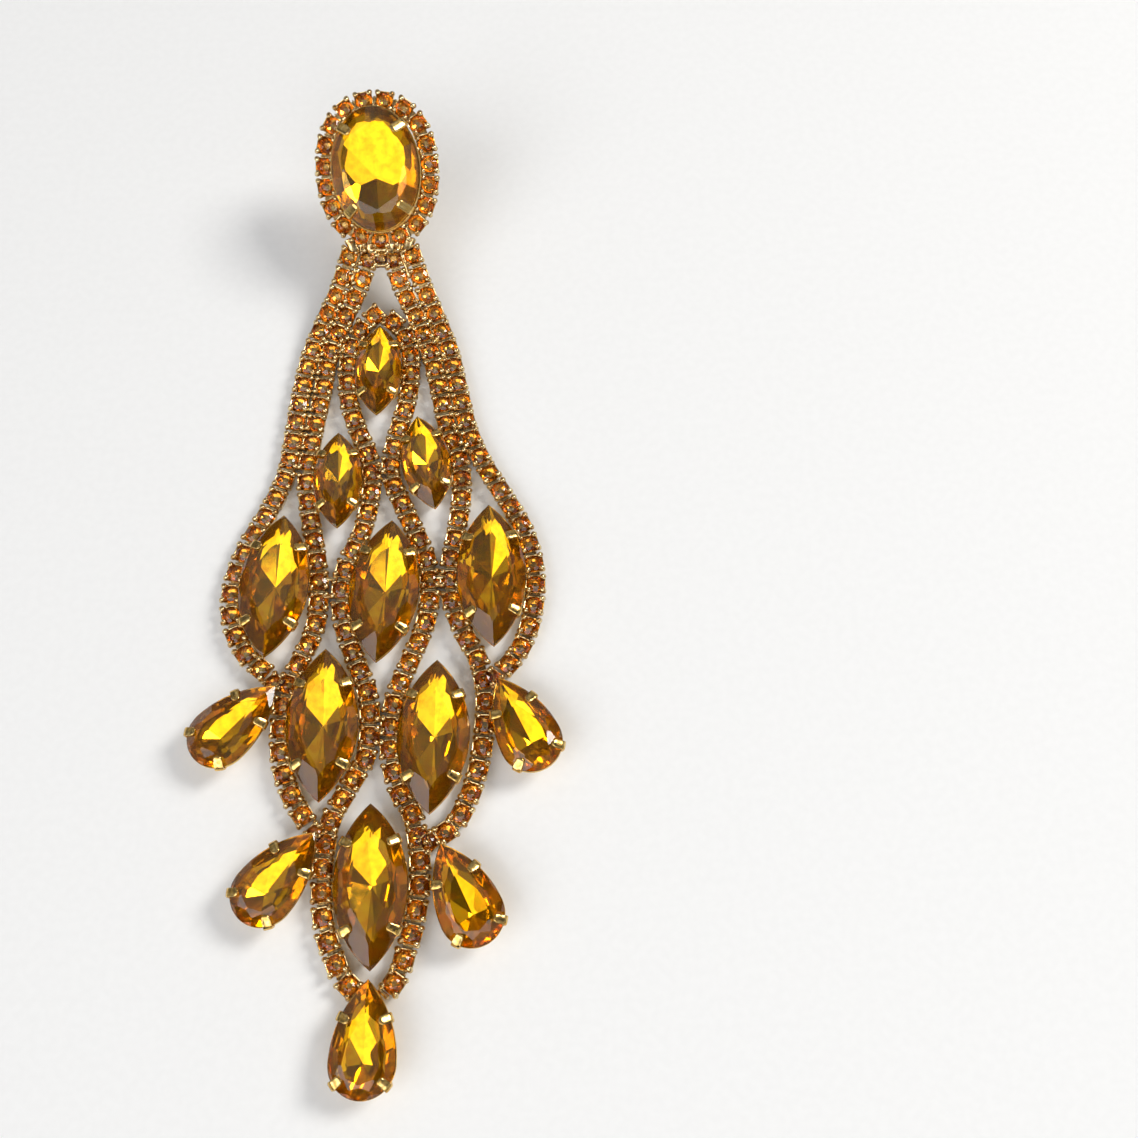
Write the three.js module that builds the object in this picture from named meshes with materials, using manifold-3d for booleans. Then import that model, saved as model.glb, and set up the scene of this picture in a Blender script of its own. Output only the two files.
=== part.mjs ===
// A chandelier earring in gold-coloured metal and amber glass: an oval stone in a halo of small stones,
// and below it a net of six fine cup chains that carries nine navettes and five pear drops.
// Millimetres, +Z up. The earring lies on its back: +Y runs towards the ear, and the origin is at the
// middle of the bottom of the whole piece's box.
import * as THREE from 'three';
import { mergeVertices } from 'three/addons/utils/BufferGeometryUtils.js';
import Module from 'manifold-3d';

const wasm = await Module();
wasm.setup();

// Driving dimensions.
const chainWidth = 1.6;        // a cup chain, across its cups
const chainTop = 1.75;         // the chain's top above the backs of the settings
const fitGap = 0.3;            // between neighbouring pieces
const haloLength = 14.0;       // the halo along the middle of its cups
const haloWidth = 10.9;
const clawWidth = 0.8;
const floorThickness = 0.5;    // the back of a setting
const postDiameter = 0.85;
const padDiameter = 3.2;
const padThickness = 0.4;

// The lie: the chains lie flat, and the top cluster leans up on its ear post.
const clusterLean = THREE.MathUtils.degToRad(30);
const leanEnd = 12;            // distance below the ear post where the slope starts to ease
const flatStart = 21;          // distance below the ear post where the chains lie flat

const goldColour = 0xd6b05e;
const amberColour = 0xe3ae1c;
const smallAmberColour = 0xc07a1c;

// The stone cuts. top and bottom are the lengths above and below the widest line, and a pointed end
// is two arcs that meet. claws are heights along the stone, as parts of its top or bottom length.
const cuts = {
  oval: { width: 9.0, top: 6.25, bottom: 6.25, pointTop: false, pointBottom: false,
    girdle: 3.0, crown: 1.3, pavilion: 1.9, table: 0.6, claws: [0.7, -0.7] },
  smallNavette: { width: 5.0, top: 5.25, bottom: 5.25, pointTop: true, pointBottom: true,
    girdle: 2.6, crown: 0.8, pavilion: 1.3, table: 0.55, claws: [0.55, -0.55] },
  largeNavette: { width: 6.8, top: 7.35, bottom: 7.35, pointTop: true, pointBottom: true,
    girdle: 3.0, crown: 1.0, pavilion: 1.9, table: 0.55, claws: [0.55, -0.55] },
  pear: { width: 5.9, top: 6.95, bottom: 2.95, pointTop: true, pointBottom: false,
    girdle: 2.8, crown: 0.9, pavilion: 1.7, table: 0.55, claws: [0.55, -0.6] },
};

// Each stone: x across, down along the chains from the ear post to its middle, and turn in degrees,
// where a plus turn leans its upper end to +X.
const stones = [
  { name: 'oval', cut: 'oval', x: 0, down: 0.1, turn: -2.5 },
  { name: 'navette_1', cut: 'smallNavette', x: -0.4, down: 22.4, turn: 1 },
  { name: 'navette_2_left', cut: 'smallNavette', x: -4.2, down: 34.9, turn: -1 },
  { name: 'navette_2_right', cut: 'smallNavette', x: 4.7, down: 33.2, turn: -10.5 },
  { name: 'navette_3_left', cut: 'largeNavette', x: -9.95, down: 46.2, turn: 5 },
  { name: 'navette_3_middle', cut: 'largeNavette', x: 0.8, down: 47.0, turn: 5 },
  { name: 'navette_3_right', cut: 'largeNavette', x: 11.25, down: 45.7, turn: -1.5 },
  { name: 'navette_4_left', cut: 'largeNavette', x: -4.75, down: 60.2, turn: 0.5 },
  { name: 'navette_4_right', cut: 'largeNavette', x: 5.7, down: 61.6, turn: 2.5 },
  { name: 'navette_5', cut: 'largeNavette', x: 0.15, down: 75.2, turn: -1 },
];

// Each pear drop: the place of its tip, and its turn.
const drops = [
  { name: 'drop_upper_left', x: -9.35, down: 56.4, turn: 47 },
  { name: 'drop_upper_right', x: 11.8, down: 56.1, turn: -26 },
  { name: 'drop_lower_left', x: -5.05, down: 70.3, turn: 40 },
  { name: 'drop_lower_right', x: 6.4, down: 71.6, turn: -24.5 },
  { name: 'drop_bottom', x: 0.15, down: 83.25, turn: 3 },
];

// Each chain's route as points of x and down, chosen by hand: it runs beside the stones that it carries.
const chains = [
  { name: 'chain_outer_left', route: [[-3.2, 8.1], [-4.6, 12], [-6.2, 15.5], [-7.7, 19.5], [-8.6, 24.5],
    [-9.1, 29], [-9.7, 33.5], [-11.3, 37.6], [-13.4, 41.8], [-14.5, 46], [-14.2, 49.6], [-12.7, 52.7],
    [-10.7, 54.6]] },
  { name: 'chain_left', route: [[-1.1, 8.4], [-2.5, 12], [-4.1, 15.3], [-5.7, 19.5], [-6.4, 24.5], [-7.1, 29],
    [-7.6, 33.5], [-7.2, 37.6], [-6.4, 42], [-5.9, 46], [-6.1, 50], [-7.3, 53.2], [-8.6, 56.2], [-9.0, 60],
    [-8.7, 63.6], [-7.6, 66.7], [-6.2, 69.0]] },
  { name: 'chain_inner_left', route: [[-0.5, 14.7], [-2.2, 16.4], [-3.5, 19.0], [-3.8, 22], [-3.5, 25.5],
    [-2.5, 28.8], [-1.4, 31.6], [-0.95, 34.4], [-1.2, 37.5], [-1.9, 40.5], [-3.2, 43.5], [-3.7, 46.6],
    [-3.3, 50], [-2.1, 53.5], [-0.9, 56.6], [-0.5, 60], [-0.9, 63.2], [-2.5, 66.2], [-3.9, 69.0], [-4.4, 72.2],
    [-4.5, 75.5], [-4.1, 78.8], [-3.1, 81.6], [-2.2, 83.4]] },
  { name: 'chain_inner_right', route: [[0.5, 15.5], [1.9, 17.0], [2.7, 19.4], [2.85, 22.3], [2.5, 25.6],
    [1.7, 28.8], [1.1, 31.6], [1.05, 34.2], [2.2, 37.2], [3.5, 40.2], [4.7, 43.3], [5.1, 46.6], [4.6, 50.2],
    [3.2, 53.8], [1.9, 57.2], [1.45, 60.4], [1.55, 63.4], [2.4, 66.4], [3.7, 68.8], [4.3, 71.8], [4.4, 75],
    [3.9, 78.6], [2.9, 81.3], [2.3, 83.1]] },
  { name: 'chain_right', route: [[1.0, 8.4], [2.0, 12], [3.5, 15.6], [4.8, 19.5], [5.9, 24.3], [6.8, 29],
    [8.0, 32.6], [8.2, 36.4], [7.7, 40.4], [7.1, 43.9], [7.2, 47.4], [8.3, 50.8], [9.8, 53.8], [10.5, 57],
    [10.4, 60.5], [9.9, 64], [8.9, 67.2], [7.6, 69.6], [6.2, 70.7]] },
  { name: 'chain_outer_right', route: [[3.1, 8.1], [4.3, 12], [5.6, 15.6], [6.9, 19.5], [7.9, 24.3], [8.9, 29],
    [10.4, 32.8], [12.4, 36.4], [14.3, 40], [15.3, 43.4], [15.5, 46.8], [14.9, 50.4], [13.7, 53.2],
    [12.3, 54.9]] },
];

// The lie as a curve: the slope is steady over the cluster and eases evenly to nothing.
function lieAt(down) {
  const easing = clusterLean / (flatStart - leanEnd);
  const easedDown = THREE.MathUtils.clamp(down, leanEnd, flatStart);
  const slope = easing * (flatStart - easedDown);
  const above = Math.min(down - leanEnd, 0);
  const beyond = Math.max(down - flatStart, 0);
  const y = -leanEnd * Math.cos(clusterLean) - (Math.sin(clusterLean) - Math.sin(slope)) / easing
    - above * Math.cos(clusterLean) - beyond;
  const z = (1 - Math.cos(slope)) / easing - above * Math.sin(clusterLean);
  return { y, z, slope };
}

function pointOnLie(x, down, height) {
  const { y, z, slope } = lieAt(down);
  return new THREE.Vector3(x, y - height * Math.sin(slope), z + height * Math.cos(slope));
}

function placeOnLie(object, x, down, turn) {
  const { y, z, slope } = lieAt(down);
  object.position.set(x, y, z);
  object.rotation.set(slope, 0, -THREE.MathUtils.degToRad(turn));
}

function makeMesh(name, geometry, color, metalness, roughness) {
  const material = new THREE.MeshStandardMaterial({ color, metalness, roughness, flatShading: true });
  const mesh = new THREE.Mesh(geometry, material);
  mesh.name = name;
  return mesh;
}

const metalMesh = (name, geometry) => makeMesh(name, geometry, goldColour, 1, 0.28);
const glassMesh = (name, geometry) => makeMesh(name, geometry, amberColour, 0, 0.04);

// One side of a cut from its widest line to its end: half its width at a part t of the way along.
function halfWidthAt(halfWidth, length, pointed, t) {
  if (!pointed) {
    return halfWidth * Math.sqrt(Math.max(0, 1 - t * t));
  }
  const radius = (length * length + halfWidth * halfWidth) / (2 * halfWidth);
  return Math.sqrt(radius * radius - (t * length) ** 2) - (radius - halfWidth);
}

// The outline of a cut, grown or shrunk by an offset: anticlockwise from its +X side, seen from above.
const quarterSteps = 4;
function outline(cut, offset) {
  const tipFactor = (pointed) => (pointed ? 1.25 : 1);
  const halfWidth = cut.width / 2 + offset;
  const ends = [
    { length: cut.top + offset * tipFactor(cut.pointTop), pointed: cut.pointTop, up: 1 },
    { length: cut.bottom + offset * tipFactor(cut.pointBottom), pointed: cut.pointBottom, up: -1 },
  ];
  const points = [];
  for (let quarter = 0; quarter < 4; quarter += 1) {
    const end = ends[quarter < 2 ? 0 : 1];
    const side = quarter === 0 || quarter === 3 ? 1 : -1;
    for (let step = 0; step < quarterSteps; step += 1) {
      const towardsTip = (quarter % 2 === 0 ? step : quarterSteps - step) / quarterSteps;
      const t = end.pointed ? towardsTip : Math.sin(towardsTip * Math.PI / 2);
      const x = side * halfWidthAt(halfWidth, end.length, end.pointed, t);
      points.push([x, end.up * t * end.length]);
    }
  }
  return points;
}

// A closed skin through a stack of rings. Rings that meet in one point close themselves, open ends are
// capped, and a looped stack joins its last ring to its first.
function loft(rings, looped = false) {
  const positions = [];
  const starts = rings.map((ring) => {
    const start = positions.length / 3;
    ring.forEach((point) => positions.push(...point));
    return start;
  });
  const indices = [];
  const bandCount = looped ? rings.length : rings.length - 1;
  for (let band = 0; band < bandCount; band += 1) {
    const next = (band + 1) % rings.length;
    const count = Math.max(rings[band].length, rings[next].length);
    for (let i = 0; i < count; i += 1) {
      const j = (i + 1) % count;
      const [a, b] = rings[band].length === 1 ? [starts[band], starts[band]] : [starts[band] + i, starts[band] + j];
      const [c, d] = rings[next].length === 1 ? [starts[next], starts[next]] : [starts[next] + i, starts[next] + j];
      if (a !== b) {
        indices.push(a, b, d);
      }
      if (c !== d) {
        indices.push(a, d, c);
      }
    }
  }
  if (!looped) {
    const last = rings.length - 1;
    for (let i = 1; i < rings[0].length - 1; i += 1) {
      indices.push(starts[0], starts[0] + i + 1, starts[0] + i);
    }
    for (let i = 1; i < rings[last].length - 1; i += 1) {
      indices.push(starts[last], starts[last] + i, starts[last] + i + 1);
    }
  }
  const geometry = new THREE.BufferGeometry();
  geometry.setAttribute('position', new THREE.Float32BufferAttribute(positions, 3));
  geometry.setIndex(indices);
  geometry.computeVertexNormals();
  return geometry;
}

const ringAt = (cut, offset, height) => outline(cut, offset).map(([x, y]) => [x, y, height]);
const scaledRing = (cut, scale, height) => outline(cut, 0).map(([x, y]) => [x * scale, y * scale, height]);

const girdleThickness = 0.15;
function stoneGeometry(cut) {
  const underGirdle = cut.girdle - girdleThickness;
  return loft([
    [[0, 0, underGirdle - cut.pavilion]],
    ringAt(cut, 0, underGirdle),
    ringAt(cut, 0, cut.girdle),
    scaledRing(cut, cut.table, cut.girdle + cut.crown),
  ]);
}

function toManifold(geometry) {
  const bare = geometry.clone();
  bare.deleteAttribute('normal');
  bare.deleteAttribute('uv');
  const merged = mergeVertices(bare, 1e-4);
  return new wasm.Manifold(new wasm.Mesh({
    numProp: 3,
    vertProperties: new Float32Array(merged.attributes.position.array),
    triVerts: new Uint32Array(merged.index.array),
  }));
}

function fromManifold(solid) {
  const { vertProperties, triVerts } = solid.getMesh();
  const geometry = new THREE.BufferGeometry();
  geometry.setAttribute('position', new THREE.Float32BufferAttribute(vertProperties, 3));
  geometry.setIndex(Array.from(triVerts));
  geometry.computeVertexNormals();
  return geometry;
}

// The cups flare out above this height, clear of the chains beside them.
const waistHeight = chainTop + 0.1;

// A claw stands on the wall of the cup at the stone's edge and folds in over the crown.
function clawGeometry(cut, side, along) {
  const end = along > 0
    ? { length: cut.top, pointed: cut.pointTop }
    : { length: cut.bottom, pointed: cut.pointBottom };
  const t = Math.abs(along);
  const small = 0.01;
  const x = side * halfWidthAt(cut.width / 2, end.length, end.pointed, t);
  const narrower = side * halfWidthAt(cut.width / 2, end.length, end.pointed, t + small);
  const y = Math.sign(along) * t * end.length;
  const normal = new THREE.Vector2(side * small * end.length, Math.sign(along) * Math.abs(x - narrower)).normalize();
  const top = cut.girdle;
  const profile = new THREE.Shape([
    [-0.6, waistHeight], [0.3, waistHeight + 0.25], [0.65, top + 0.2], [0.25, top + 0.9], [-0.5, top + 1.15],
    [-0.6, top + 0.85], [0.25, top + 0.15], [0.25, top - 0.3], [0, top - 0.45],
  ].map(([out, up]) => new THREE.Vector2(out, up)));
  const claw = new THREE.ExtrudeGeometry(profile, { depth: clawWidth, bevelEnabled: false });
  claw.translate(0, 0, -clawWidth / 2);
  const outward = new THREE.Vector3(normal.x, normal.y, 0);
  const upward = new THREE.Vector3(0, 0, 1);
  const across = new THREE.Vector3().crossVectors(outward, upward);
  claw.applyMatrix4(new THREE.Matrix4().makeBasis(outward, upward, across).setPosition(x, y, 0));
  return claw;
}

// A setting is a flared cup with an open pocket for the stone and four claws.
function settingGeometry(cut) {
  const rim = cut.girdle - 0.35;
  const cup = loft([
    ringAt(cut, -1.1, 0),
    ringAt(cut, -0.5, waistHeight),
    ringAt(cut, 0.25, rim),
    ringAt(cut, -0.05, rim),
    ringAt(cut, -0.8, waistHeight),
    ringAt(cut, -1.5, floorThickness),
  ]);
  let solid = toManifold(cup);
  for (const along of cut.claws) {
    for (const side of [1, -1]) {
      solid = solid.add(toManifold(clawGeometry(cut, side, along)));
    }
  }
  return fromManifold(solid);
}

const sectionSides = 8;
const halfSide = Math.PI / sectionSides;
const sectionRadius = chainWidth / 2 / Math.cos(halfSide);
const chainMiddle = chainTop - chainWidth / 2;

function sectionPoints() {
  const points = [];
  for (let i = 0; i < sectionSides; i += 1) {
    const angle = halfSide + 2 * halfSide * i;
    points.push(new THREE.Vector2(sectionRadius * Math.cos(angle), sectionRadius * Math.sin(angle)));
  }
  return points;
}

// A cup chain is one round body along its route, with a step every two widths.
function chainGeometry(route) {
  const path = new THREE.CatmullRomCurve3(route.map(([x, down]) => pointOnLie(x, down, chainMiddle)));
  const steps = Math.ceil(path.getLength() / (2 * chainWidth));
  return new THREE.ExtrudeGeometry(new THREE.Shape(sectionPoints()), { steps, extrudePath: path });
}

// The halo is a closed chain round the oval.
function haloGeometry() {
  const halo = { width: haloWidth, top: haloLength / 2, bottom: haloLength / 2, pointTop: false, pointBottom: false };
  const rings = sectionPoints().map((point) => ringAt(halo, point.x, chainMiddle + point.y));
  return loft(rings, true);
}

// The ear post is square to the back of the cluster, and its tip reaches the surface that the piece lies on.
function postGeometry() {
  const backHeight = lieAt(0).z;
  const tipDrop = backHeight / Math.cos(clusterLean) - Math.tan(clusterLean) * postDiameter / 2;
  const padTop = -fitGap;
  const profile = [
    [0, -tipDrop], [postDiameter / 2, -tipDrop], [postDiameter / 2, padTop - padThickness],
    [padDiameter / 2, padTop - padThickness], [padDiameter / 2, padTop], [0, padTop],
  ];
  const post = new THREE.LatheGeometry(profile.map(([radius, height]) => new THREE.Vector2(radius, height)), 16);
  post.rotateX(Math.PI / 2);
  return post;
}

const earring = new THREE.Group();

const post = metalMesh('ear_post', postGeometry());
const halo = makeMesh('halo_chain', haloGeometry(), smallAmberColour, 0.6, 0.25);
for (const piece of [post, halo]) {
  placeOnLie(piece, 0, 0, 0);
  earring.add(piece);
}

const dropMiddles = drops.map(({ name, x, down, turn }) => {
  const lean = THREE.MathUtils.degToRad(turn);
  const reach = cuts.pear.top;
  return { name, cut: 'pear', x: x - reach * Math.sin(lean), down: down + reach * Math.cos(lean), turn };
});

for (const { name, cut, x, down, turn } of [...stones, ...dropMiddles]) {
  const stone = glassMesh(`${name}_stone`, stoneGeometry(cuts[cut]));
  const setting = metalMesh(`${name}_setting`, settingGeometry(cuts[cut]));
  for (const piece of [stone, setting]) {
    placeOnLie(piece, x, down, turn);
    earring.add(piece);
  }
}

for (const { name, route } of chains) {
  earring.add(makeMesh(name, chainGeometry(route), smallAmberColour, 0.6, 0.25));
}

// The whole piece is moved so that the origin is at the middle of the bottom of its box.
const box = new THREE.Box3().setFromObject(earring, true);
const middle = box.getCenter(new THREE.Vector3());
earring.position.set(-middle.x, -middle.y, -box.min.z);

export default earring;
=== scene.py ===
import math
import random

import bmesh
import bpy
from mathutils import Euler, Matrix, Vector


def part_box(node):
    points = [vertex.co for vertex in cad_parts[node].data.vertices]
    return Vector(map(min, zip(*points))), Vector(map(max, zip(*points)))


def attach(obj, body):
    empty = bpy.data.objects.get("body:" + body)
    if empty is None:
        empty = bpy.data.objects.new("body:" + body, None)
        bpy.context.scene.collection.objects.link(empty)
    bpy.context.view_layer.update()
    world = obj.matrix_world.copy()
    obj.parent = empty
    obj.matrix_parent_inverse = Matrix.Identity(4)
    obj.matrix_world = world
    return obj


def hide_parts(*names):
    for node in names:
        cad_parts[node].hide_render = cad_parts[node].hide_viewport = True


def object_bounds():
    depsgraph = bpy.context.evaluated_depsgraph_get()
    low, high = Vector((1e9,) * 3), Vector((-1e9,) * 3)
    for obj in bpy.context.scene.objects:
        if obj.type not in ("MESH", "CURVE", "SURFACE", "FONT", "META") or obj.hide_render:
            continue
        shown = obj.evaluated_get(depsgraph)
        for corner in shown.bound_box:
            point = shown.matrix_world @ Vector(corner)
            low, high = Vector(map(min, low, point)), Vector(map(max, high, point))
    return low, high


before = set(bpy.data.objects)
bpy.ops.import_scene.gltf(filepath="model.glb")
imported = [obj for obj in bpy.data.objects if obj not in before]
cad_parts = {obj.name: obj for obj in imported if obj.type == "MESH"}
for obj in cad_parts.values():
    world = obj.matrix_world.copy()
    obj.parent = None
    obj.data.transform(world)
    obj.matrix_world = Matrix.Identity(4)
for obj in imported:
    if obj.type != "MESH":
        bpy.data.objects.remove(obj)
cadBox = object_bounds()
mm = 0.001
print("frame loaded:", len(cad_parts), "nodes")


# The earring's layout in millimetres: x across, and down along the chains from the ear post.
# A plus turn, in degrees, leans a stone's upper end to +X.
stones = {
    "oval": {"cut": "oval", "x": 0.0, "down": 0.1, "turn": -2.5},
    "navette_1": {"cut": "smallNavette", "x": -0.4, "down": 22.4, "turn": 1},
    "navette_2_left": {"cut": "smallNavette", "x": -4.2, "down": 34.9, "turn": -1},
    "navette_2_right": {"cut": "smallNavette", "x": 4.7, "down": 33.2, "turn": -10.5},
    "navette_3_left": {"cut": "largeNavette", "x": -9.95, "down": 46.2, "turn": 5},
    "navette_3_middle": {"cut": "largeNavette", "x": 0.8, "down": 47.0, "turn": 5},
    "navette_3_right": {"cut": "largeNavette", "x": 11.25, "down": 45.7, "turn": -1.5},
    "navette_4_left": {"cut": "largeNavette", "x": -4.75, "down": 60.2, "turn": 0.5},
    "navette_4_right": {"cut": "largeNavette", "x": 5.7, "down": 61.6, "turn": 2.5},
    "navette_5": {"cut": "largeNavette", "x": 0.15, "down": 75.2, "turn": -1},
}

# The pear drops are placed by their tips.
drops = {
    "drop_upper_left": {"x": -9.35, "down": 56.4, "turn": 47},
    "drop_upper_right": {"x": 11.8, "down": 56.1, "turn": -26},
    "drop_lower_left": {"x": -5.05, "down": 70.3, "turn": 40},
    "drop_lower_right": {"x": 6.4, "down": 71.6, "turn": -24.5},
    "drop_bottom": {"x": 0.15, "down": 83.25, "turn": 3},
}

# The chains' routes as points of x and down, each from its upper end.
routes = {
    "chain_outer_left": [(-3.2, 8.1), (-4.6, 12), (-6.2, 15.5), (-7.7, 19.5), (-8.6, 24.5), (-9.1, 29),
                         (-9.7, 33.5), (-11.3, 37.6), (-13.4, 41.8), (-14.5, 46), (-14.2, 49.6),
                         (-12.7, 52.7), (-10.7, 54.6)],
    "chain_left": [(-1.1, 8.4), (-2.5, 12), (-4.1, 15.3), (-5.7, 19.5), (-6.4, 24.5), (-7.1, 29),
                   (-7.6, 33.5), (-7.2, 37.6), (-6.4, 42), (-5.9, 46), (-6.1, 50), (-7.3, 53.2),
                   (-8.6, 56.2), (-9.0, 60), (-8.7, 63.6), (-7.6, 66.7), (-6.2, 69.0)],
    "chain_inner_left": [(-0.5, 14.7), (-2.2, 16.4), (-3.5, 19.0), (-3.8, 22), (-3.5, 25.5), (-2.5, 28.8),
                         (-1.4, 31.6), (-0.95, 34.4), (-1.2, 37.5), (-1.9, 40.5), (-3.2, 43.5), (-3.7, 46.6),
                         (-3.3, 50), (-2.1, 53.5), (-0.9, 56.6), (-0.5, 60), (-0.9, 63.2), (-2.5, 66.2),
                         (-3.9, 69.0), (-4.4, 72.2), (-4.5, 75.5), (-4.1, 78.8), (-3.2, 81.2), (-2.5, 82.8),
                         (-1.3, 84.1)],
    "chain_inner_right": [(0.5, 15.5), (1.9, 17.0), (2.7, 19.4), (2.85, 22.3), (2.5, 25.6), (1.7, 28.8),
                          (1.1, 31.6), (1.05, 34.2), (2.2, 37.2), (3.5, 40.2), (4.7, 43.3), (5.1, 46.6),
                          (4.6, 50.2), (3.2, 53.8), (1.9, 57.2), (1.45, 60.4), (1.55, 63.4), (2.4, 66.4),
                          (3.7, 68.8), (4.3, 71.8), (4.4, 75), (3.9, 78.6), (3.2, 81.0), (2.7, 82.7),
                          (1.8, 84.1)],
    "chain_right": [(1.0, 8.4), (2.0, 12), (3.5, 15.6), (4.8, 19.5), (5.9, 24.3), (6.8, 29), (8.0, 32.6),
                    (8.2, 36.4), (7.7, 40.4), (7.1, 43.9), (7.2, 47.4), (8.3, 50.8), (9.8, 53.8), (10.5, 57),
                    (10.4, 60.5), (9.9, 64), (8.9, 67.2), (7.6, 69.6), (6.2, 70.7)],
    "chain_outer_right": [(3.1, 8.1), (4.3, 12), (5.6, 15.6), (6.9, 19.5), (7.9, 24.3), (8.9, 29),
                          (10.4, 32.8), (12.4, 36.4), (14.3, 40), (15.3, 43.4), (15.5, 46.8), (14.9, 50.4),
                          (13.7, 53.2), (12.3, 54.9)],
}

# The lie: the chains lie flat, and the top cluster leans up on its ear post.
lie = {"lean": math.radians(30), "leanEnd": 12.0, "flatStart": 21.0}

# The CAD row is shifted so that its origin is at the middle of the box's bottom.
lowCorner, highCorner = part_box("navette_5_setting")
rowShift = (lowCorner + highCorner) / 2 / mm


# Where the lie is at a distance down the chains: y, z and slope.
def lieAt(down):
    easing = lie["lean"] / (lie["flatStart"] - lie["leanEnd"])
    eased = min(max(down, lie["leanEnd"]), lie["flatStart"])
    slope = easing * (lie["flatStart"] - eased)
    above = min(down - lie["leanEnd"], 0)
    beyond = max(down - lie["flatStart"], 0)
    y = (-lie["leanEnd"] * math.cos(lie["lean"]) - (math.sin(lie["lean"]) - math.sin(slope)) / easing
         - above * math.cos(lie["lean"]) - beyond)
    z = (1 - math.cos(slope)) / easing - above * math.sin(lie["lean"])
    return y, z, slope


rowShift.x -= stones["navette_5"]["x"]
rowShift.y -= lieAt(stones["navette_5"]["down"])[0]
rowShift.z = 0


def pointOnLie(x, down):
    y, z = lieAt(down)[:2]
    return rowShift + Vector((x, y, z))


# A place on the lie with its own axes: +X across, +Y up the chains, +Z out of the face.
def placeOnLie(x, down, turn=0.0):
    slope = lieAt(down)[2]
    return (Matrix.Translation(pointOnLie(x, down)) @ Matrix.Rotation(slope, 4, "X")
            @ Matrix.Rotation(-math.radians(turn), 4, "Z"))


def linear(hexColour, alpha=1.0):
    parts = [int(hexColour[i:i + 2], 16) / 255 for i in (1, 3, 5)]
    return tuple(c / 12.92 if c <= 0.04045 else ((c + 0.055) / 1.055) ** 2.4 for c in parts) + (alpha,)


# One node with its settings and its links; a setting is an input by name or number, or a property.
def addNode(tree, kind, settings=None, links=None):
    node = tree.nodes.new(kind)
    for key, value in (settings or {}).items():
        if isinstance(key, int) or key in node.inputs:
            node.inputs[key].default_value = value
        else:
            setattr(node, key, value)
    for key, source in (links or {}).items():
        tree.links.new(source, node.inputs[key])
    return node


def startMaterial(name):
    material = bpy.data.materials.new(name)
    material.use_nodes = True
    material.node_tree.nodes.clear()
    return material, material.node_tree


def endMaterial(tree, shader):
    addNode(tree, "ShaderNodeOutputMaterial", links={"Surface": shader.outputs[0]})


# A noise with grains of a real size, and a colour that goes over to another between two of its levels.
def mottle(tree, colour, other, grainMm, fromLevel=0.35, toLevel=0.65):
    coords = addNode(tree, "ShaderNodeTexCoord")
    grain = addNode(tree, "ShaderNodeTexNoise", {"Scale": 1 / (grainMm * mm), "Detail": 3.0},
                    {"Vector": coords.outputs["Object"]})
    share = addNode(tree, "ShaderNodeMapRange", {"From Min": fromLevel, "From Max": toLevel},
                    {"Value": grain.outputs["Fac"]})
    tint = addNode(tree, "ShaderNodeMix", {"data_type": "RGBA", 6: linear(colour), 7: linear(other)},
                   {0: share.outputs[0]})
    return grain.outputs["Fac"], tint.outputs[2]


# Pressed lead glass, fire polished: a clear amber body with faint veins, sharp reflections off every facet.
def makeGlass(name, colour, vein):
    material, tree = startMaterial(name)
    tint = mottle(tree, colour, vein, 2.5)[1]
    shader = addNode(tree, "ShaderNodeBsdfPrincipled", {
        "Transmission Weight": 1.0, "Roughness": 0.0, "IOR": 1.54}, {"Base Color": tint})
    endMaterial(tree, shader)
    return material


# Foil behind the pavilion: part tinted mirror, part lacquer that glows where nothing is mirrored. Its
# uneven lacquer gives the eye orange flecks among the yellow.
def makeFoil(name, colour, fleck, mirror):
    material, tree = startMaterial(name)
    grain, tint = mottle(tree, colour, fleck, 0.9, 0.4, 0.7)
    haze = addNode(tree, "ShaderNodeMapRange", {
        "From Min": 0.3, "From Max": 0.7, "To Min": 0.03, "To Max": 0.1}, {"Value": grain})
    shader = addNode(tree, "ShaderNodeBsdfPrincipled", {"Metallic": mirror},
                     {"Base Color": tint, "Roughness": haze.outputs[0]})
    endMaterial(tree, shader)
    return material


# Brass with a polished pale gold plate: warm mirror highlights, softened by a fine uneven wear. On the chain
# plate the dark second colour is painted shade and painted dark reflections, laid on in random patches.
def makeGoldPlate(name, colour, wearAndPaintedShade, grainMm=0.35):
    material, tree = startMaterial(name)
    grain, tint = mottle(tree, colour, wearAndPaintedShade, grainMm, 0.3, 0.7)
    gloss = addNode(tree, "ShaderNodeMapRange", {
        "From Min": 0.3, "From Max": 0.7, "To Min": 0.12, "To Max": 0.28}, {"Value": grain})
    bump = addNode(tree, "ShaderNodeBump", {"Strength": 0.12, "Distance": 0.02 * mm}, {"Height": grain})
    shader = addNode(tree, "ShaderNodeBsdfPrincipled", {"Metallic": 1.0},
                     {"Base Color": tint, "Roughness": gloss.outputs[0], "Normal": bump.outputs[0]})
    endMaterial(tree, shader)
    return material


amberGlass = makeGlass("amber lead glass", "#FFEAA4", "#FFE396")
amberFoil = makeFoil("gold foil backing", "#FAD026", "#F5B41E", 0.86)
topazGlass = makeGlass("topaz lead glass", "#FFF3D4", "#FFEBC0")
topazFoil = makeFoil("copper foil backing", "#FFC04E", "#E8942E", 0.9)
goldPlate = makeGoldPlate("pale gold plate", "#F0D08A", "#D8A850")
# The chain plate's dark brown patches are painted shade and painted dark reflections that give the cups
# their contrast.
chainPlateWithPaintedShade = makeGoldPlate("chain gold plate with painted shade", "#FFEBB4", "#9C6420", 0.4)
print("materials made")


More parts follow.
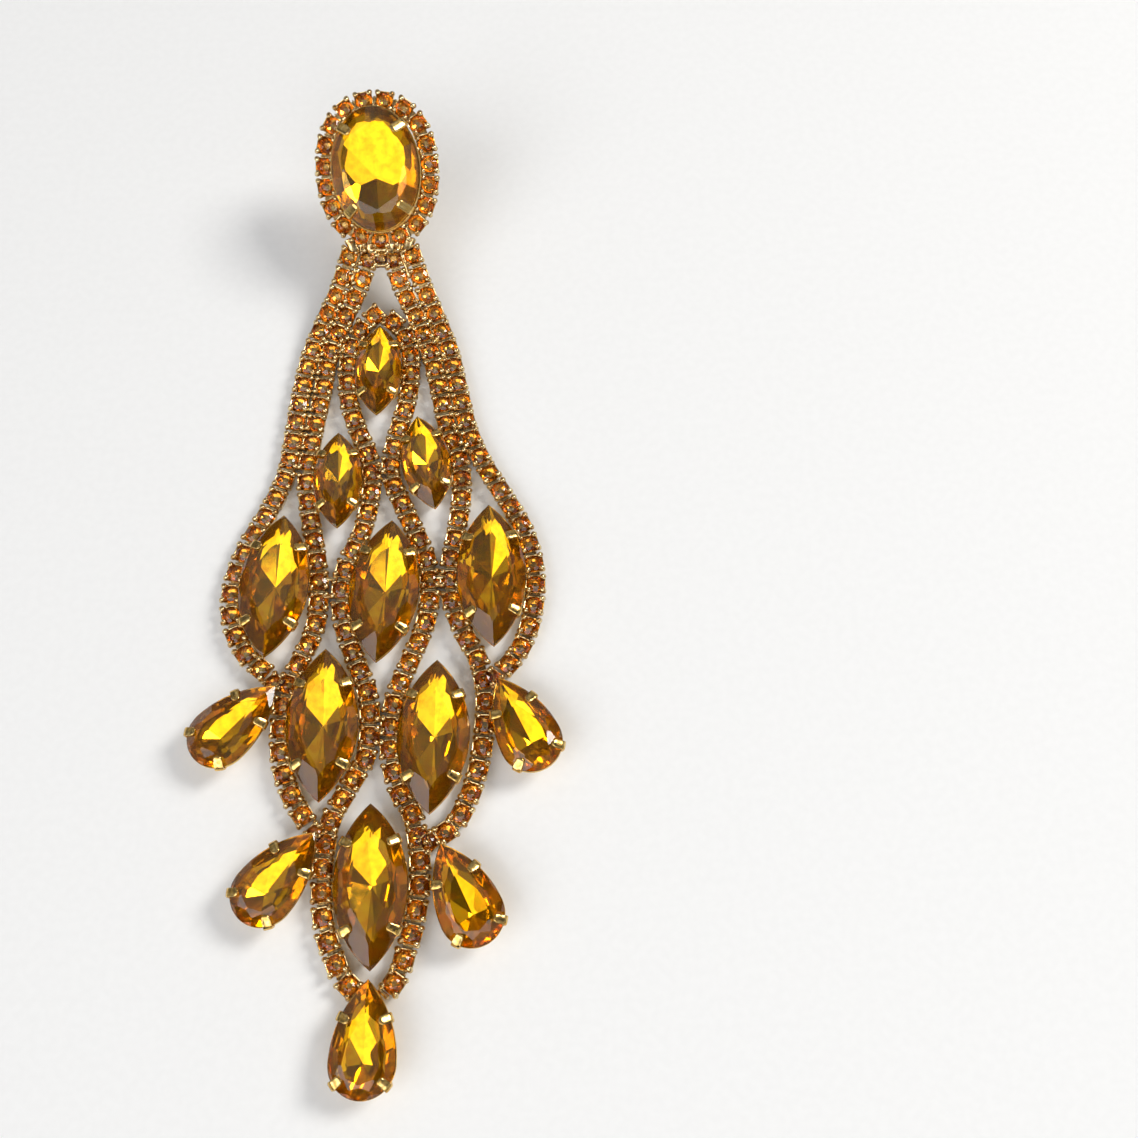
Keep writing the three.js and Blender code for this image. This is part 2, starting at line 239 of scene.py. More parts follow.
# The stone cuts in millimetres. top and bottom are the lengths above and below the widest line, and a
# pointed end is two arcs that meet. crownMains are the places of the main crown facets in quarters of the
# outline. pavilionMains are (direction, slope) in degrees of the facets that meet at the culet. lipDrop
# is how far a setting's lip sits below the usual place.
cuts = {
    "oval": {"width": 9.0, "top": 6.25, "bottom": 6.25, "pointTop": False, "pointBottom": False,
             "girdle": 3.0, "crown": 1.2, "pavilion": 1.05, "table": 0.7, "claws": (0.7, -0.7),
             "lipOut": 0.2, "lipDrop": 0.4, "clawWidth": 1.05, "clawReach": 1.25,
             "crownMains": (0, 0.5, 1, 1.5, 2, 2.5, 3, 3.5), "culet": (0, -0.9),
             "pavilionMains": ((56, 9), (124, 9), (18, 11), (156, 10), (-68, 11), (-112, 11))},
    "smallNavette": {"width": 5.0, "top": 5.25, "bottom": 5.25, "pointTop": True, "pointBottom": True,
                     "girdle": 2.6, "crown": 0.8, "pavilion": 1.4, "table": 0.6, "claws": (0.55, -0.55),
                     "lipOut": 0.03, "clawWidth": 0.8, "clawReach": 0.75,
                     "crownMains": (0, 0.5, 0.86, 1.14, 1.5, 2, 2.5, 2.86, 3.14, 3.5), "culet": (0, 0),
                     "pavilionMains": ((76, 15), (104, 15), (52, 17), (128, 16.5), (24, 19), (156, 19),
                                       (-60, 13), (-120, 12), (-20, 20), (200, 20))},
    "largeNavette": {"width": 6.8, "top": 7.35, "bottom": 7.35, "pointTop": True, "pointBottom": True,
                     "girdle": 3.0, "crown": 1.0, "pavilion": 1.9, "table": 0.62, "claws": (0.55, -0.55),
                     "lipOut": 0.03, "clawWidth": 0.95, "clawReach": 0.9,
                     "crownMains": (0, 0.5, 0.86, 1.14, 1.5, 2, 2.5, 2.86, 3.14, 3.5), "culet": (0, 0),
                     "pavilionMains": ((78, 15), (102, 15), (56, 16.5), (124, 17), (28, 18), (152, 18),
                                       (-70, 12), (-110, 12), (-45, 15), (-135, 15), (-15, 20), (195, 20))},
    "pear": {"width": 5.9, "top": 6.95, "bottom": 2.95, "pointTop": True, "pointBottom": False,
             "girdle": 2.8, "crown": 0.9, "pavilion": 1.7, "table": 0.6, "claws": (0.55, -0.6),
             "lipOut": 0.03, "clawWidth": 0.9, "clawReach": 0.85,
             "crownMains": (0, 0.45, 0.86, 1.14, 1.55, 2, 2.5, 3, 3.5), "culet": (0, 0),
             "pavilionMains": ((60, 15), (120, 15), (20, 19), (160, 19), (-45, 22), (-135, 20), (-90, 26))},
    "chaton": {"width": 1.66, "top": 0.83, "bottom": 0.83, "pointTop": False, "pointBottom": False,
               "girdle": 1.25, "crown": 0.3, "pavilion": 0.5, "table": 0.5,
               "crownMains": (0, 0.5, 1, 1.5, 2, 2.5, 3, 3.5), "culet": (0, 0),
               "pavilionMains": ((22, 24), (67, 24), (112, 24), (157, 24), (202, 24), (247, 24), (292, 24),
                                 (337, 24))},
}


# A point of the outline and its outward direction. Quarters run anticlockwise from the +X side.
def edgeAt(cut, quarters, offset=0.0):
    quarters %= 4
    quarter = int(quarters)
    part = quarters - quarter
    upper = quarter < 2
    side = 1 if quarter in (0, 3) else -1
    pointed = cut["pointTop"] if upper else cut["pointBottom"]
    halfWidth = cut["width"] / 2 + offset
    length = cut["top" if upper else "bottom"] + offset * (1.25 if pointed else 1)
    towardsTip = part if quarter % 2 == 0 else 1 - part
    if pointed:
        radius = (length * length + halfWidth * halfWidth) / (2 * halfWidth)
        y = towardsTip * length
        x = math.sqrt(radius * radius - y * y) - (radius - halfWidth)
        normal = Vector((x + radius - halfWidth, y))
    else:
        angle = towardsTip * math.pi / 2
        x = halfWidth * math.cos(angle)
        y = length * math.sin(angle)
        normal = Vector((x / halfWidth ** 2, y / length ** 2))
    up = 1 if upper else -1
    normal.normalize()
    return Vector((side * x, up * y)), Vector((side * normal.x, up * normal.y))


# A facet is a plane over the outline's direction at one place: it passes at one height over the outline
# scaled by one part, and at a second height over the outline scaled by another.
def cutFacet(work, cut, quarters, fromScale, fromHeight, toScale, toHeight):
    edge, out = edgeAt(cut, quarters)
    reach = edge.dot(out)
    rise = toHeight - fromHeight
    inset = (fromScale - toScale) * reach
    facing = 1 if rise > 0 else -1
    normal = Vector((out.x * abs(rise), out.y * abs(rise), facing * inset)).normalized()
    origin = Vector((out.x * reach * fromScale, out.y * reach * fromScale, fromHeight))
    sliceOff(work, origin, normal)


def sliceOff(work, origin, normal):
    everything = work.verts[:] + work.edges[:] + work.faces[:]
    found = bmesh.ops.bisect_plane(work, geom=everything, dist=1e-5, plane_co=origin, plane_no=normal,
                                   clear_outer=True)
    rim = [e for e in found["geom_cut"] if isinstance(e, bmesh.types.BMEdge)]
    if len(rim) > 2:
        bmesh.ops.contextual_create(work, geom=rim)


# Where the small facets of every cut lie, as parts of the outline, of the crown and of the pavilion.
grind = {"band": 0.15, "sides": (0.25, 0.75), "crownReach": 0.82, "crownRise": 0.62,
         "pavilionReach": 0.7, "pavilionFall": 0.42, "starOut": 0.16, "starIn": 0.08, "starRise": 0.72,
         "foilBelow": 0.2, "merge": 2e-4}


# A stone is ground as a real one is, plane by plane, from a block with the outline of its girdle.
def grindStone(cut, girdlePoints=48):
    work = bmesh.new()
    girdle = cut["girdle"]
    top = girdle + cut["crown"]
    belly = girdle - grind["band"]
    culet = belly - cut["pavilion"]
    ring = [edgeAt(cut, 4 * i / girdlePoints)[0] for i in range(girdlePoints)]
    lower = [work.verts.new((p.x, p.y, culet)) for p in ring]
    upper = [work.verts.new((p.x, p.y, top)) for p in ring]
    work.faces.new(list(reversed(lower)))
    work.faces.new(upper)
    for i in range(girdlePoints):
        j = (i + 1) % girdlePoints
        work.faces.new((lower[i], lower[j], upper[j], upper[i]))
    mains = cut["crownMains"]
    table = cut["table"]
    for i, main in enumerate(mains):
        following = mains[(i + 1) % len(mains)] + (4 if i + 1 == len(mains) else 0)
        gap = following - main
        cutFacet(work, cut, main, 1, girdle, table, top)
        for part in grind["sides"]:
            cutFacet(work, cut, main + gap * part, 1, girdle,
                     grind["crownReach"], girdle + grind["crownRise"] * cut["crown"])
            cutFacet(work, cut, main + gap * part, 1, belly,
                     grind["pavilionReach"], belly - grind["pavilionFall"] * cut["pavilion"])
        cutFacet(work, cut, main + gap * 0.5, table + grind["starOut"],
                 girdle + grind["starRise"] * cut["crown"], table - grind["starIn"], top)
    for direction, slope in cut["pavilionMains"]:
        out = Euler((0, 0, math.radians(direction))).to_matrix() @ Vector((1, 0, 0))
        steep = math.radians(slope)
        normal = Vector((out.x * math.sin(steep), out.y * math.sin(steep), -math.cos(steep)))
        sliceOff(work, Vector((*cut["culet"], culet)), normal)
    bmesh.ops.remove_doubles(work, verts=work.verts, dist=grind["merge"])
    bmesh.ops.recalc_face_normals(work, faces=work.faces)
    verts = [v.co.copy() for v in work.verts]
    work.verts.index_update()
    faces = [[v.index for v in f.verts] for f in work.faces]
    foiled = [f.normal.z < grind["foilBelow"] for f in work.faces]
    work.free()
    return verts, faces, foiled


# A mesh being gathered from many small shapes, all in millimetres.
class Gather:
    def __init__(self):
        self.verts = []
        self.faces = []
        self.slots = []
        self.smooth = []

    def add(self, verts, faces, place=None, slot=0, smooth=True):
        start = len(self.verts)
        self.verts += [place @ v if place else v for v in verts]
        self.faces += [[start + i for i in face] for face in faces]
        self.slots += slot if isinstance(slot, list) else [slot] * len(faces)
        self.smooth += [smooth] * len(faces)

    def finish(self, name, materials, place=None, node=None, sharpAngle=35):
        mesh = bpy.data.meshes.new(name)
        mesh.from_pydata([(place @ v if place else v) * mm for v in self.verts], [], self.faces)
        for material in materials:
            mesh.materials.append(material)
        mesh.polygons.foreach_set("material_index", self.slots)
        mesh.polygons.foreach_set("use_smooth", self.smooth)
        mesh.validate()
        if any(self.smooth):
            mesh.set_sharp_from_angle(angle=math.radians(sharpAngle))
        piece = bpy.data.objects.new(name, mesh)
        bpy.context.scene.collection.objects.link(piece)
        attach(piece, "root")
        if node:
            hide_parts(node)
        return piece


# Rings of points of equal number joined into a skin, with the two ends filled.
def skin(rings, looped=False):
    count = len(rings[0])
    verts = [Vector(p) for ring in rings for p in ring]
    faces = []
    for band in range(len(rings) if looped else len(rings) - 1):
        a = band * count
        b = ((band + 1) % len(rings)) * count
        for i in range(count):
            j = (i + 1) % count
            faces.append([a + i, a + j, b + j, b + i])
    if not looped:
        faces.append(list(reversed(range(count))))
        faces.append([(len(rings) - 1) * count + i for i in range(count)])
    return verts, faces


def outlineRing(cut, offset, height, count):
    ring = []
    for i in range(count):
        edge = edgeAt(cut, 4 * i / count, offset)[0]
        ring.append((edge.x, edge.y, height))
    return ring


# The large settings: a flared cup with a rolled lip, and claws with rounded ends. The widths and depths of
# a claw are its parts of the full size from the root to the tip.
settingShape = {"waist": 1.85, "outlinePoints": 64,
                "clawThickness": 0.26, "clawPoints": 12, "clawSquareness": 0.6,
                "clawWidths": (1.1, 1.05, 1, 0.98, 0.96, 0.95, 0.95, 0.9, 0.68, 0.3),
                "clawDepths": (1, 1, 1, 1, 1, 0.98, 0.92, 0.85, 0.65, 0.25)}


# The cup's section as (offset from the outline, height), from the middle of its base out and back inside.
def cupRings(cut):
    waist = settingShape["waist"]
    lip = cut["lipOut"]
    brim = cut["girdle"] - cut.get("lipDrop", 0)
    profile = [(-1.5, 0.03), (-1.2, 0.0), (-1.06, 0.07), (-1.0, 0.2), (-0.5, waist),
               (lip - 0.12, brim - 0.42), (lip, brim - 0.3), (lip, brim - 0.2), (lip - 0.06, brim - 0.12),
               (lip - 0.16, brim - 0.12), (-0.05, brim - 0.28), (-0.8, waist), (-1.5, 0.5)]
    return [outlineRing(cut, offset, height, settingShape["outlinePoints"]) for offset, height in profile]


# A claw is swept from the cup's wall up past the girdle and down on to the crown.
def clawShape(cut, side, along):
    length = cut["top"] if along > 0 else cut["bottom"]
    pointed = cut["pointTop"] if along > 0 else cut["pointBottom"]
    part = abs(along) if pointed else math.asin(abs(along)) / (math.pi / 2)
    quarters = {(1, 1): part, (-1, 1): 2 - part, (-1, -1): 2 + part, (1, -1): 4 - part}
    edge, out = edgeAt(cut, quarters[(side, 1 if along > 0 else -1)])
    across = Vector((-out.y, out.x))
    girdle = cut["girdle"]
    slope = cut["crown"] / ((1 - cut["table"]) * edge.dot(out))
    reach = cut["clawReach"]
    path = [(-0.2, girdle - 0.9), (0.05, girdle - 0.5), (0.15, girdle - 0.15), (0.18, girdle + 0.1),
            (0.08, girdle + 0.24), (-0.12, girdle + 0.12 * slope + 0.24),
            (-0.4, girdle + 0.4 * slope + 0.19), (-0.8 * reach, girdle + 0.8 * reach * slope + 0.16),
            (-reach, girdle + reach * slope + 0.13), (-reach - 0.08, girdle + (reach + 0.08) * slope + 0.1)]
    count = settingShape["clawPoints"]
    squareness = settingShape["clawSquareness"]
    rings = []
    for i, (outBy, height) in enumerate(path):
        before = path[max(i - 1, 0)]
        after = path[min(i + 1, len(path) - 1)]
        run = Vector((after[0] - before[0], after[1] - before[1])).normalized()
        face = Vector((run.y, -run.x))
        halfWide = cut["clawWidth"] / 2 * settingShape["clawWidths"][i]
        halfDeep = settingShape["clawThickness"] / 2 * settingShape["clawDepths"][i]
        ring = []
        for k in range(count):
            angle = 2 * math.pi * k / count
            wide = halfWide * math.copysign(abs(math.cos(angle)) ** squareness, math.cos(angle))
            deep = halfDeep * math.copysign(abs(math.sin(angle)) ** squareness, math.sin(angle))
            flat = edge + out * (outBy + face.x * deep) + across * wide
            ring.append((flat.x, flat.y, height + face.y * deep))
        rings.append(ring)
    return skin(rings)


# No stone sits quite level: it rocks by up to a few degrees about the middle of its girdle.
def swayAt(height, most, spin=0.0):
    sway = Euler((math.radians(random.uniform(-most, most)), math.radians(random.uniform(-most, most)),
                  random.uniform(0, spin)))
    lift = Matrix.Translation((0, 0, height))
    return lift @ sway.to_matrix().to_4x4() @ lift.inverted()


def makeSetting(name, cutName, place):
    cut = cuts[cutName]
    gather = Gather()
    gather.add(*skin(cupRings(cut)))
    for along in cut["claws"]:
        for side in (1, -1):
            gather.add(*clawShape(cut, side, along))
    gather.finish(f"{name}_metal", [goldPlate], place, f"{name}_setting", 50)


# How far stones rock in their settings, in degrees, and how far a chaton may be turned, in radians.
seat = {"stoneSway": 1.3, "chatonSway": 5, "chatonSpin": 0.8}


def makeStone(name, cutName, place):
    verts, faces, foiled = groundStones[cutName]
    sway = swayAt(cuts[cutName]["girdle"], seat["stoneSway"])
    gather = Gather()
    gather.add(verts, faces, sway, [1 if f else 0 for f in foiled], smooth=False)
    gather.finish(f"{name}_gem", [amberGlass, amberFoil], place, f"{name}_stone")


random.seed(7)
groundStones = {cutName: grindStone(cuts[cutName]) for cutName in cuts if cutName != "chaton"}
groundStones["chaton"] = grindStone(cuts["chaton"], 24)

for name, at in drops.items():
    lean = math.radians(at["turn"])
    reach = cuts["pear"]["top"]
    stones[name] = {"cut": "pear", "x": at["x"] - reach * math.sin(lean),
                    "down": at["down"] + reach * math.cos(lean), "turn": at["turn"]}

for name, at in stones.items():
    place = placeOnLie(at["x"], at["down"], at["turn"])
    makeStone(name, at["cut"], place)
    makeSetting(name, at["cut"], place)
print("stones and settings made:", len(stones))


# The cup chain: small square cups with four bead claws round a chaton, joined by plates and folded links.
# inset is how far the first and the last cup's middles are from the ends of the route.
cup = {"pitch": 2.2, "width": 1.98, "along": 0.96, "base": 1.6, "height": 1.2, "beadRadius": 0.31,
       "beadSpread": 0.76, "beadHeight": 1.36, "beadLean": 0.5, "beadStretch": 1.35,
       "floor": 0.12, "inset": 0.68,
       "plateWidth": 1.0, "plateHeight": 0.3, "plateHalfThick": 0.1, "plateUnder": 0.2,
       "linkWidth": 1.0, "linkLength": 0.2, "linkHeight": 1.05}


def roundedSquare(halfSide, corner, height, steps=3):
    ring = []
    for quarter in range(4):
        for step in range(steps + 1):
            angle = math.pi / 2 * (quarter + step / steps)
            centre = Vector(((1, 1), (-1, 1), (-1, -1), (1, -1))[quarter]) * (halfSide - corner)
            ring.append((centre.x + corner * math.cos(angle), centre.y + corner * math.sin(angle), height))
    return ring


def ballShape(radius, stretch=1.0, rings=5, around=8):
    loops = []
    for i in range(rings):
        tilt = math.pi * (i + 0.5) / rings
        loops.append([(radius * math.sin(tilt) * math.cos(2 * math.pi * k / around),
                       radius * math.sin(tilt) * math.sin(2 * math.pi * k / around),
                       -radius * stretch * math.cos(tilt)) for k in range(around)])
    return skin(loops)


def boxShape(halfX, halfY, halfZ):
    ring = [(-halfX, -halfY), (halfX, -halfY), (halfX, halfY), (-halfX, halfY)]
    return skin([[(x, y, z) for x, y in ring] for z in (-halfZ, halfZ)])


def cupShape():
    gather = Gather()
    half = cup["width"] / 2
    base = cup["base"] / 2
    floor = cup["floor"]
    top = cup["height"]
    squeeze = Matrix.Diagonal((cup["along"], 1, 1, 1))
    # half a side, corner radius and height, from the base up over the rim and back inside
    profile = [(base - 0.12, 0.2, floor), (base, 0.25, floor + 0.06), (half - 0.06, 0.35, top - 0.25),
               (half, 0.38, top - 0.05), (half - 0.03, 0.36, top), (half - 0.12, 0.3, top - 0.02),
               (base - 0.2, 0.2, top - 0.5)]
    gather.add(*skin([roundedSquare(*ring) for ring in profile]), place=squeeze)
    spread = cup["beadSpread"]
    lean = cup["beadLean"]
    for sideX in (1, -1):
        for sideY in (1, -1):
            leanIn = Euler((sideY * lean, -sideX * lean, 0)).to_matrix().to_4x4()
            corner = (sideX * spread * cup["along"], sideY * spread, cup["beadHeight"])
            stalk = Matrix.Translation(corner) @ leanIn
            gather.add(*ballShape(cup["beadRadius"], cup["beadStretch"]), place=stalk)
    return gather


# Two cups are joined by a low plate, with a folded link standing across it.
def linkShape():
    gather = Gather()
    gap = cup["pitch"] - cup["width"] * cup["along"]
    gather.add(*boxShape(gap / 2 + cup["plateUnder"], cup["plateWidth"] / 2, cup["plateHalfThick"]),
               place=Matrix.Translation((0, 0, cup["plateHeight"])))
    # the fold's section, as parts of its length and height
    fold = [(-0.5, 0.2), (-0.5, 0.85), (-0.3, 1), (0.3, 1), (0.5, 0.85), (0.5, 0.2)]
    sides = [[(along * cup["linkLength"], side * cup["linkWidth"] / 2, up * cup["linkHeight"])
              for along, up in fold] for side in (-1, -0.85, 0.85, 1)]
    gather.add(*skin(sides))
    return gather


cupPattern = cupShape()
linkPattern = linkShape()
chatonPattern = groundStones["chaton"]


def fillChain(places, links, name, node):
    metal = Gather()
    glass = Gather()
    for place in places:
        metal.add(cupPattern.verts, cupPattern.faces, place)
        sway = swayAt(cuts["chaton"]["girdle"], seat["chatonSway"], seat["chatonSpin"])
        verts, faces, foiled = chatonPattern
        glass.add(verts, faces, place @ sway, [1 if f else 0 for f in foiled], smooth=False)
    for place in links:
        metal.add(linkPattern.verts, linkPattern.faces, place, smooth=False)
    metal.finish(f"{name}_cups", [chainPlateWithPaintedShade], None, node, 50)
    glass.finish(f"{name}_chatons", [topazGlass, topazFoil], None, None)


# The route as a smooth curve through its points, walked in small steps.
def smoothRoute(points, perSpan=16):
    ends = [points[0] * 2 - points[1]] + points + [points[-1] * 2 - points[-2]]
    walked = []
    for i in range(1, len(ends) - 2):
        a, b, c, d = ends[i - 1:i + 3]
        for step in range(perSpan):
            t = step / perSpan
            walked.append(0.5 * (2 * b + (c - a) * t + (2 * a - 5 * b + 4 * c - d) * t * t
                                 + (3 * b - a - 3 * c + d) * t ** 3))
    walked.append(points[-1])
    return walked


# Even places along a walked route: (point, direction) for each part of its length.
def alongRoute(walked, distances):
    marks = [0.0]
    for a, b in zip(walked, walked[1:]):
        marks.append(marks[-1] + (b - a).length)
    found = []
    i = 0
    for distance in distances:
        while i < len(marks) - 2 and marks[i + 1] < distance:
            i += 1
        share = (distance - marks[i]) / (marks[i + 1] - marks[i])
        found.append((walked[i].lerp(walked[i + 1], share), (walked[i + 1] - walked[i]).normalized()))
    return found


def routeLength(walked):
    return sum((b - a).length for a, b in zip(walked, walked[1:]))


def standOn(point, forward, up):
    across = up.cross(forward).normalized()
    lift = forward.cross(across)
    turn = Matrix((forward, across, lift)).transposed().to_4x4()
    return Matrix.Translation(point) @ turn


def makeChain(name, route):
    walked = smoothRoute([Vector((x, down)) for x, down in route])
    inset = cup["inset"]
    spread = routeLength(walked) - 2 * inset
    count = round(spread / cup["pitch"])
    pitch = spread / count

    def placesAt(distances):
        places = []
        for flat, heading in alongRoute(walked, distances):
            here = pointOnLie(flat.x, flat.y)
            there = pointOnLie(flat.x + heading.x * 0.01, flat.y + heading.y * 0.01)
            slope = lieAt(flat.y)[2]
            up = Vector((0, -math.sin(slope), math.cos(slope)))
            places.append(standOn(here, (there - here).normalized(), up))
        return places

    cups = placesAt([inset + pitch * i for i in range(count + 1)])
    joints = placesAt([inset + pitch * (i + 0.5) for i in range(count)])
    if route[0][1] < lie["leanEnd"]:
        joints += placesAt([0.0])    # the link up to the halo
    fillChain(cups, joints, name, name)


for name, route in routes.items():
    makeChain(name, route)
print("chains made:", len(routes))


# The halo: a closed ring of cups round the oval, square to the cluster, a little squarer than an ellipse.
halo = {"length": 14.0, "width": 10.9, "cups": 19, "power": 0.87, "steps": 360}


def makeHalo():
    ring = []
    for i in range(halo["steps"] + 1):
        angle = 2 * math.pi * i / halo["steps"]
        across = math.copysign(abs(math.sin(angle)) ** halo["power"], math.sin(angle))
        up = math.copysign(abs(math.cos(angle)) ** halo["power"], math.cos(angle))
        ring.append(Vector((halo["width"] / 2 * across, halo["length"] / 2 * up)))
    pitch = routeLength(ring) / halo["cups"]
    place = placeOnLie(0, 0)

    def placesAt(distances):
        return [place @ standOn(Vector((p.x, p.y, 0)), Vector((h.x, h.y, 0)), Vector((0, 0, 1)))
                for p, h in alongRoute(ring, distances)]

    cups = placesAt([pitch * (i + 0.5) for i in range(halo["cups"])])
    joints = placesAt([pitch * i for i in range(halo["cups"])])
    fillChain(cups, joints, "halo", "halo_chain")


makeHalo()
print("halo made")


# Short soldered bars where neighbours meet: x, down, turn, length and width of each.
bars = (
    (-3.05, 7.55, -20, 1.5, 1.3), (-1.1, 8.0, -10, 1.1, 1.3), (1.0, 8.0, 8, 1.1, 1.3),
    (2.95, 7.55, 20, 1.5, 1.3), (-2.1, 7.9, 0, 0.8, 0.5), (2.0, 7.9, 0, 0.8, 0.5),
    (-0.05, 8.1, 90, 2.4, 0.6), (-0.05, 9.7, 90, 1.7, 0.6), (-2.75, 9.8, 20, 3.0, 0.5),
    (2.5, 9.7, -16, 3.0, 0.5), (-1.0, 84.3, 50, 1.2, 0.5), (1.3, 84.4, -50, 1.2, 0.5),
    (-4.85, 45.1, 90, 1.6, 0.6), (-4.85, 46.9, 90, 1.5, 0.6), (0.05, 33.3, 90, 1.3, 0.6),
    (0.45, 60.5, 90, 1.3, 0.6), (6.1, 45.2, 90, 1.3, 0.6), (-8.35, 58.8, 90, 1.0, 0.7),
    (4.0, 19.0, 90, 1.2, 0.6), (-4.7, 19.3, 90, 1.2, 0.6),
)
barShape = {"height": 0.5, "middle": 1.15, "points": 10,
            "waisting": ((-1, 0.6), (-0.85, 1), (0, 0.8), (0.85, 1), (1, 0.6))}    # along, part of the width


def makeBars():
    gather = Gather()
    for x, down, turn, length, width in bars:
        half = width / 2
        deep = barShape["height"] / 2
        rings = []
        for along, share in barShape["waisting"]:
            angles = [2 * math.pi * k / barShape["points"] for k in range(barShape["points"])]
            rings.append([(half * share * math.cos(a), along * length / 2,
                           barShape["middle"] + deep * share * math.sin(a)) for a in angles])
        gather.add(*skin(rings), place=placeOnLie(x, down, turn))
    gather.finish("solder_bars", [chainPlateWithPaintedShade], None, None, 40)


# Single cups that close the joints: x, down and turn of each.
jointCups = ((-0.05, 9.0, 0), (-9.9, 55.6, 50), (11.2, 55.7, -50), (-5.3, 70.1, 45), (5.2, 71.2, -40))
jointCupSize = 0.9    # part of a chain cup's size


def makeJointCups():
    places = [placeOnLie(x, down, turn) @ Matrix.Scale(jointCupSize, 4) for x, down, turn in jointCups]
    fillChain(places, [], "joint", None)


makeBars()
makeJointCups()
print("soldered joints made")


# The ear post: a plain drawn pin with a rounded end on a round pad.
post = {"diameter": 0.85, "pad": 3.2, "padThickness": 0.4, "gap": 0.3, "tipRound": 0.1, "fillet": 0.2,
        "edge": 0.06, "points": 40}


def makePost():
    place = placeOnLie(0, 0)
    lean = lie["lean"]
    length = lieAt(0)[1] / math.cos(lean) - math.tan(lean) * post["diameter"] / 2
    pin = post["diameter"] / 2
    pad = post["pad"] / 2
    under = -post["gap"] - post["padThickness"]
    over = -post["gap"]
    edge = post["edge"]
    fillet = post["fillet"]
    tipRound = post["tipRound"]
    profile = [(pin - tipRound, -length), (pin, -length + 1.2 * tipRound), (pin, under - fillet),
               (pin + fillet, under), (pad - edge, under), (pad, under + edge), (pad, over - edge),
               (pad - edge, over)]
    angles = [2 * math.pi * k / post["points"] for k in range(post["points"])]
    rings = [[(radius * math.cos(a), radius * math.sin(a), height) for a in angles]
             for radius, height in profile]
    gather = Gather()
    gather.add(*skin(rings))
    gather.finish("ear_post_pin", [goldPlate], place, "ear_post", 50)


makePost()
print("ear post made")


# The surface that the earring lies on: matt white paper, with a tooth that barely shows.
paper = {"halfSize": 1.5, "colour": "#F6F6F6", "tooth": "#F4F4F4", "toothMm": 0.8}


def makeFloor():
    material, tree = startMaterial("matt white paper")
    grain, tint = mottle(tree, paper["colour"], paper["tooth"], paper["toothMm"])
    bump = addNode(tree, "ShaderNodeBump", {"Strength": 0.02, "Distance": 0.02 * mm}, {"Height": grain})
    shader = addNode(tree, "ShaderNodeBsdfPrincipled", {"Roughness": 0.9, "Specular IOR Level": 0.1},
                     {"Base Color": tint, "Normal": bump.outputs[0]})
    endMaterial(tree, shader)
    half = paper["halfSize"]
    corners = [(-half, -half, 0), (half, -half, 0), (half, half, 0), (-half, half, 0)]
    mesh = bpy.data.meshes.new("paper")
    mesh.from_pydata(corners, [], [(0, 1, 2, 3)])
    mesh.materials.append(material)
    floor = bpy.data.objects.new("paper", mesh)
    bpy.context.scene.collection.objects.link(floor)


# Lights by direction: compass is degrees from +Y towards +X, height is degrees above the surface, and
# glow is how bright a panel looks, whatever its size.
lights = {
    "window": {"compass": 230, "height": 41, "distance": 0.8, "size": (0.66, 0.56), "glow": 2.3,
               "colour": "#FFFFFF"},
    "door": {"compass": 168, "height": 46, "distance": 0.8, "size": (0.59, 0.45), "glow": 1.8,
             "colour": "#FFFFFF"},
    "lamp": {"compass": 68, "height": 42, "distance": 0.7, "size": (0.24, 0.24), "glow": 16.0,
             "colour": "#FFFDF8"},
}
# The room round the piece, as soft pale and dark patches for the stones and the metal to reflect.
room = {"colour": "#E8E9EC", "dark": 0.02, "bright": 0.62, "patchScale": 2.2, "darkLevel": 0.44,
        "brightLevel": 0.62}


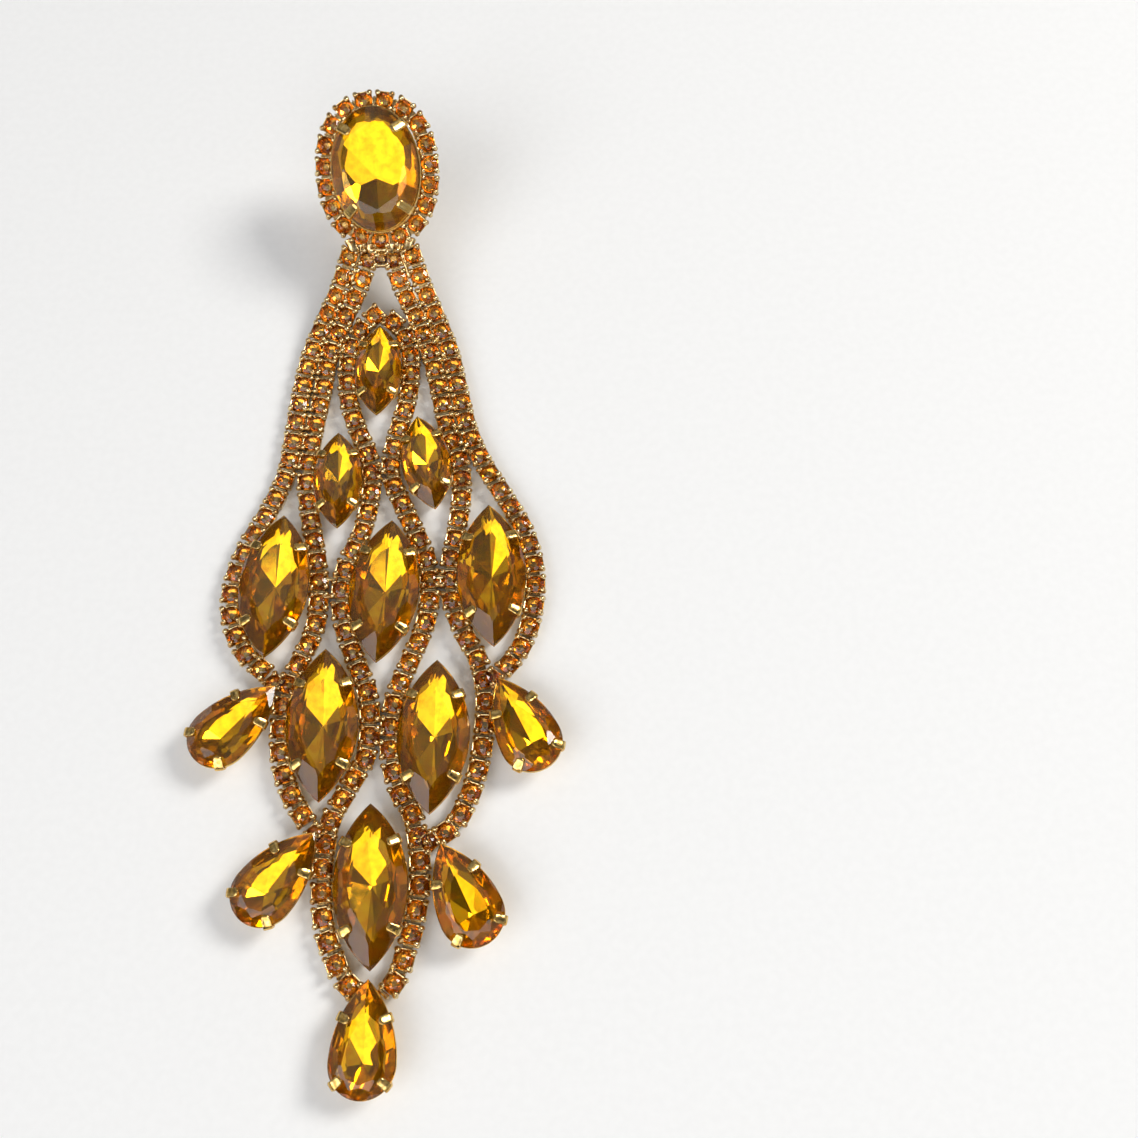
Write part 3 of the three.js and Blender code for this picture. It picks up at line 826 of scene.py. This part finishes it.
def makeLights():
    for name, one in lights.items():
        lamp = bpy.data.lights.new(name, "AREA")
        lamp.shape = "RECTANGLE"
        lamp.size, lamp.size_y = one["size"]
        lamp.energy = one["glow"] * math.pi * lamp.size * lamp.size_y
        lamp.color = linear(one["colour"])[:3]
        holder = bpy.data.objects.new(name, lamp)
        bpy.context.scene.collection.objects.link(holder)
        compass = math.radians(one["compass"])
        height = math.radians(one["height"])
        level = math.cos(height)
        away = Vector((math.sin(compass) * level, math.cos(compass) * level, math.sin(height)))
        holder.location = away * one["distance"]
        holder.rotation_euler = away.to_track_quat("Z", "Y").to_euler()
    world = bpy.data.worlds.new("room")
    bpy.context.scene.world = world
    world.use_nodes = True
    world.node_tree.nodes.clear()
    around = addNode(world.node_tree, "ShaderNodeTexCoord")
    patches = addNode(world.node_tree, "ShaderNodeTexNoise", {"Scale": room["patchScale"], "Detail": 2.0},
                      {"Vector": around.outputs["Generated"]})
    strength = addNode(world.node_tree, "ShaderNodeMapRange", {
        "From Min": room["darkLevel"], "From Max": room["brightLevel"],
        "To Min": room["dark"], "To Max": room["bright"]},
        {"Value": patches.outputs["Fac"]})
    glow = addNode(world.node_tree, "ShaderNodeBackground", {"Color": linear(room["colour"])},
                   {"Strength": strength.outputs[0]})
    addNode(world.node_tree, "ShaderNodeOutputWorld", links={"Surface": glow.outputs[0]})


# The camera looks down from the lower end of the earring, with the earring left of its middle.
camera = {"tilt": 20.5, "turn": -1.64, "distance": 0.130, "lens": 40.94, "sensor": 36.0, "nearest": 0.005,
          "aside": 0.0187, "ahead": 0.0002}


def makeCamera():
    lens = bpy.data.cameras.new("camera")
    lens.lens = camera["lens"]
    lens.sensor_width = camera["sensor"]
    lens.clip_start = camera["nearest"]
    holder = bpy.data.objects.new("camera", lens)
    bpy.context.scene.collection.objects.link(holder)
    facing = Euler((math.radians(camera["tilt"]), 0, math.radians(camera["turn"])))
    back = facing.to_matrix() @ Vector((0, 0, 1))
    holder.rotation_euler = facing
    low, high = cadBox
    aim = Vector(((low[0] + high[0]) / 2 + camera["aside"], (low[1] + high[1]) / 2 + camera["ahead"], 0))
    holder.location = aim + back * camera["distance"]
    bpy.context.scene.camera = holder


makeFloor()
makeLights()
makeCamera()
bpy.context.scene.view_settings.view_transform = "Standard"
print("stage made")
